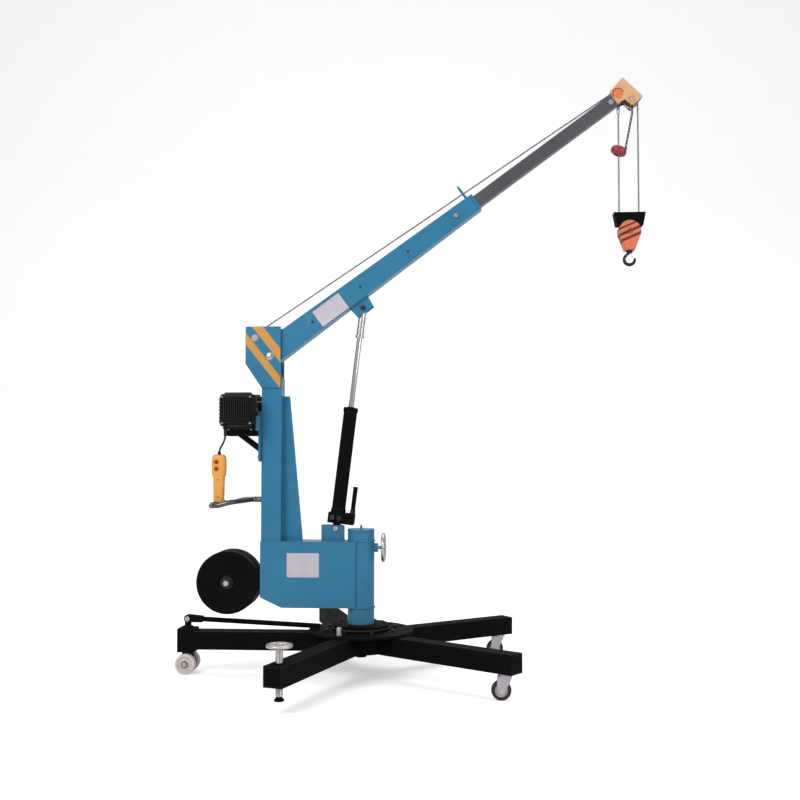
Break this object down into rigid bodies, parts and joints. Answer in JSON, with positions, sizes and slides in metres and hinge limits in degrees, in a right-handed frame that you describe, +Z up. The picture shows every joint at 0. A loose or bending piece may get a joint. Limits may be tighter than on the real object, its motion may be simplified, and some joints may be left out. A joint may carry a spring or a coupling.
{
  "type": "mobile slewing floor crane",
  "caption": "Wheeled floor crane with a star base, slewing post, telescopic boom raised by a hand-pumped ram, disc counterweights, and an electric rope winch with hook block.",
  "frame": {"origin": "on the floor under the middle of the overall box", "axes": "+Z up, +X from the tow bar end towards the boom tip and hook, +Y away from the pendant side"},
  "size_m": [2.3348, 1.7778, 2.9655],
  "materials": {
    "blue_paint": "gloss enamel, lightly worn at the edges",
    "black_paint": "satin black enamel",
    "winch_black": "fine textured black coating",
    "sheave_black": "black, polished in the rope groove",
    "disc_iron": "cast discs under satin black paint",
    "zinc_steel": "bright zinc plate",
    "fork_zinc": "pressed steel, dull zinc plate",
    "rod_chrome": "hard chrome, ground",
    "rope_steel": "galvanised stranded wire rope, lightly greased",
    "grey_paint": "dark grey paint rubbed by sliding",
    "peach_paint": "pale orange enamel",
    "orange_paint": "orange red enamel, chipped at the edges",
    "crimson_paint": "crimson enamel",
    "red_plastic": "moulded button caps",
    "amber_plastic": "moulded case, fine grain",
    "tyre_black": "solid rubber tyre, matt, dusty",
    "cable_rubber": "smooth black sheath",
    "wheel_nylon": "moulded nylon, scuffed on the tread"
  },
  "bodies": {
    "base": {"base_hub": "black_paint", "leg_tow": "black_paint", "leg_left_front": "black_paint", "leg_left_rear": "black_paint", "leg_right_front": "black_paint", "leg_right_rear": "black_paint", "slew_bearing": "black_paint"},
    "steer": {"steer_spindle": "black_paint"},
    "steer_wheel_near": {"steer_wheel_near": "wheel_nylon"},
    "steer_wheel_far": {"steer_wheel_far": "wheel_nylon"},
    "tow_bar": {"tow_bar": "black_paint"},
    "caster_front": {"caster_front_fork": "fork_zinc"},
    "caster_front_wheel": {"caster_front_wheel": "tyre_black"},
    "caster_rear": {"caster_rear_fork": "fork_zinc"},
    "caster_rear_wheel": {"caster_rear_wheel": "tyre_black"},
    "jack_front": {"jack_front_foot": "black_paint"},
    "jack_front_screw": {"jack_front_screw": "zinc_steel"},
    "jack_rear": {"jack_rear_foot": "black_paint"},
    "jack_rear_screw": {"jack_rear_screw": "zinc_steel"},
    "upper": {"swivel_post": "blue_paint", "lower_box": "blue_paint", "mast": "blue_paint", "mast_head": "blue_paint", "sheave_bolt": "zinc_steel", "boom_pivot_bolt": "zinc_steel", "ram_bracket": "blue_paint", "counterweight_arm": "zinc_steel", "counterweight_near_outer": "disc_iron", "counterweight_near_inner": "disc_iron", "counterweight_far_inner": "disc_iron", "counterweight_far_outer": "disc_iron", "push_handle": "black_paint", "winch_casing": "winch_black", "winch_shelf": "black_paint", "pendant_cable": "cable_rubber", "pendant": "amber_plastic", "rope_mast": "rope_steel"},
    "slew_lock": {"slew_lock_wheel": "zinc_steel"},
    "winch_drum": {"winch_drum": "zinc_steel"},
    "head_sheave": {"head_sheave": "sheave_black"},
    "button_up": {"button_up": "red_plastic"},
    "button_down": {"button_down": "red_plastic"},
    "ram_barrel": {"ram_barrel": "black_paint"},
    "ram_rod": {"ram_rod": "rod_chrome"},
    "pump_socket": {"pump_socket": "black_paint"},
    "boom": {"outer_boom": "blue_paint", "boom_lock_screw": "zinc_steel", "boom_lug": "blue_paint", "rope_boom": "rope_steel"},
    "inner": {"inner_boom": "grey_paint", "boom_head": "peach_paint"},
    "tip_sheave": {"tip_sheave": "zinc_steel"},
    "falls": {"rope_live_fall": "rope_steel", "rope_dead_fall": "rope_steel", "limit_weight": "crimson_paint"},
    "block": {"block_body": "orange_paint", "block_cover": "black_paint"},
    "hook_sheave": {"hook_sheave": "zinc_steel"},
    "hook": {"hook": "black_paint"},
    "hook_latch": {"hook_latch": "zinc_steel"}
  },
  "joints": [
    {"name": "steer", "type": "hinge", "parent": "base", "child": "steer", "pos_m": [-1.11736, 0, 0.16], "axis": [0, 0, 1], "range_deg": [-90, 90]},
    {"name": "steer_roll_near", "type": "hinge", "parent": "steer", "child": "steer_wheel_near", "pos_m": [-1.11736, -0.048, 0.05], "axis": [0, 1, 0], "continuous": true},
    {"name": "steer_roll_far", "type": "hinge", "parent": "steer", "child": "steer_wheel_far", "pos_m": [-1.11736, 0.048, 0.05], "axis": [0, 1, 0], "continuous": true},
    {"name": "tow_fold", "type": "hinge", "parent": "steer", "child": "tow_bar", "pos_m": [-1.11736, 0, 0.268], "axis": [0, -1, 0], "range_deg": [0, 6]},
    {"name": "caster_front_swivel", "type": "hinge", "parent": "base", "child": "caster_front", "pos_m": [0.4484, -0.5055, 0.11], "axis": [0, 0, 1], "continuous": true},
    {"name": "caster_front_roll", "type": "hinge", "parent": "caster_front", "child": "caster_front_wheel", "pos_m": [0.4284, -0.5055, 0.045], "axis": [0, 1, 0], "continuous": true},
    {"name": "caster_rear_swivel", "type": "hinge", "parent": "base", "child": "caster_rear", "pos_m": [0.4484, 0.5055, 0.11], "axis": [0, 0, 1], "continuous": true},
    {"name": "caster_rear_roll", "type": "hinge", "parent": "caster_rear", "child": "caster_rear_wheel", "pos_m": [0.4284, 0.5055, 0.045], "axis": [0, 1, 0], "continuous": true},
    {"name": "jack_front_travel", "type": "slide", "parent": "base", "child": "jack_front", "axis": [0, 0, 1], "range_m": [-0.055, 0.02]},
    {"name": "jack_front_turn", "type": "hinge", "parent": "jack_front", "child": "jack_front_screw", "pos_m": [-0.51311, -0.81791, 0.1], "axis": [0, 0, 1], "range_deg": [-3975, 1450]},
    {"name": "jack_rear_travel", "type": "slide", "parent": "base", "child": "jack_rear", "axis": [0, 0, 1], "range_m": [-0.055, 0.02]},
    {"name": "jack_rear_turn", "type": "hinge", "parent": "jack_rear", "child": "jack_rear_screw", "pos_m": [-0.51311, 0.81791, 0.1], "axis": [0, 0, 1], "range_deg": [-3975, 1450]},
    {"name": "slew", "type": "hinge", "parent": "base", "child": "upper", "pos_m": [-0.24736, 0, 0.25], "axis": [0, 0, 1], "continuous": true},
    {"name": "slew_lock_turn", "type": "hinge", "parent": "upper", "child": "slew_lock", "pos_m": [-0.13536, 0, 0.6255], "axis": [1, 0, 0], "range_deg": [-720, 90]},
    {"name": "drum_turn", "type": "hinge", "parent": "upper", "child": "winch_drum", "pos_m": [-0.84736, 0, 1.303], "axis": [0, 1, 0], "range_deg": [-700, 3900]},
    {"name": "head_sheave_turn", "type": "hinge", "parent": "upper", "child": "head_sheave", "pos_m": [-0.77636, 0, 1.6695], "axis": [0, 1, 0], "range_deg": [-1200, 7150]},
    {"name": "button_up_press", "type": "slide", "parent": "upper", "child": "button_up", "axis": [0, 1, 0], "range_m": [0, 0.004], "stiffness_N_per_m": 400},
    {"name": "button_down_press", "type": "slide", "parent": "upper", "child": "button_down", "axis": [0, 1, 0], "range_m": [0, 0.004], "stiffness_N_per_m": 400},
    {"name": "luff", "type": "hinge", "parent": "upper", "child": "boom", "pos_m": [-0.69986, 0, 1.5775], "axis": [0, -1, 0], "range_deg": [-36, 15], "deforming": ["rope_boom"]},
    {"name": "ram_tilt", "type": "hinge", "parent": "upper", "child": "ram_barrel", "pos_m": [-0.37236, 0, 0.7205], "axis": [0, -1, 0], "range_deg": [-7.96, 3.32]},
    {"name": "ram_extend", "type": "slide", "parent": "ram_barrel", "child": "ram_rod", "axis": [0.1206, 0, 0.9927], "range_m": [-0.293, 0.1225]},
    {"name": "pump_stroke", "type": "hinge", "parent": "ram_barrel", "child": "pump_socket", "pos_m": [-0.29, 0, 0.80146], "axis": [0, 1, 0], "range_deg": [-10, 50]},
    {"name": "telescope", "type": "slide", "parent": "boom", "child": "inner", "axis": [0.807, 0, 0.5906], "range_m": [-0.6, 0], "deforming": ["rope_boom"]},
    {"name": "tip_sheave_turn", "type": "hinge", "parent": "inner", "child": "tip_sheave", "pos_m": [1.10364, 0, 2.85508], "axis": [0, 1, 0], "range_deg": [-900, 5450]},
    {"name": "falls_hang", "type": "hinge", "parent": "inner", "child": "falls", "pos_m": [1.10364, 0, 2.85508], "axis": [0, -1, 0], "range_deg": [-15, 36], "deforming": ["rope_dead_fall", "rope_live_fall"]},
    {"name": "hoist", "type": "slide", "parent": "falls", "child": "block", "axis": [0, 0, -1], "range_m": [-0.25, 1.6], "deforming": ["rope_live_fall", "rope_dead_fall"]},
    {"name": "hook_sheave_turn", "type": "hinge", "parent": "block", "child": "hook_sheave", "pos_m": [1.08936, 0, 2.19308], "axis": [0, 1, 0], "range_deg": [-320, 1920]},
    {"name": "hook_swivel", "type": "hinge", "parent": "block", "child": "hook", "pos_m": [1.08936, 0, 2.0998], "axis": [0, 0, 1], "continuous": true},
    {"name": "latch_press", "type": "hinge", "parent": "hook", "child": "hook_latch", "pos_m": [1.09966, 0, 2.08998], "axis": [0, 1, 0], "range_deg": [0, 20], "stiffness_Nm_per_rad": 0.05}
  ],
  "couplings": [
    {"joint": "jack_front_turn", "follows": "jack_front_travel", "rad_per_m": 1256.6},
    {"joint": "jack_rear_turn", "follows": "jack_rear_travel", "rad_per_m": 1256.6},
    {"joint": "drum_turn", "follows": "hoist", "rad_per_m": 41.667},
    {"joint": "head_sheave_turn", "follows": "hoist", "rad_per_m": 76.923},
    {"joint": "tip_sheave_turn", "follows": "hoist", "rad_per_m": 58.824},
    {"joint": "hook_sheave_turn", "follows": "hoist", "rad_per_m": 20.704},
    {"joint": "falls_hang", "follows": "luff", "ratio": -1},
    {"joint": "ram_tilt", "follows": "luff", "ratio": 0.221},
    {"joint": "ram_extend", "follows": "luff", "m_per_rad": 0.466}
  ]
}
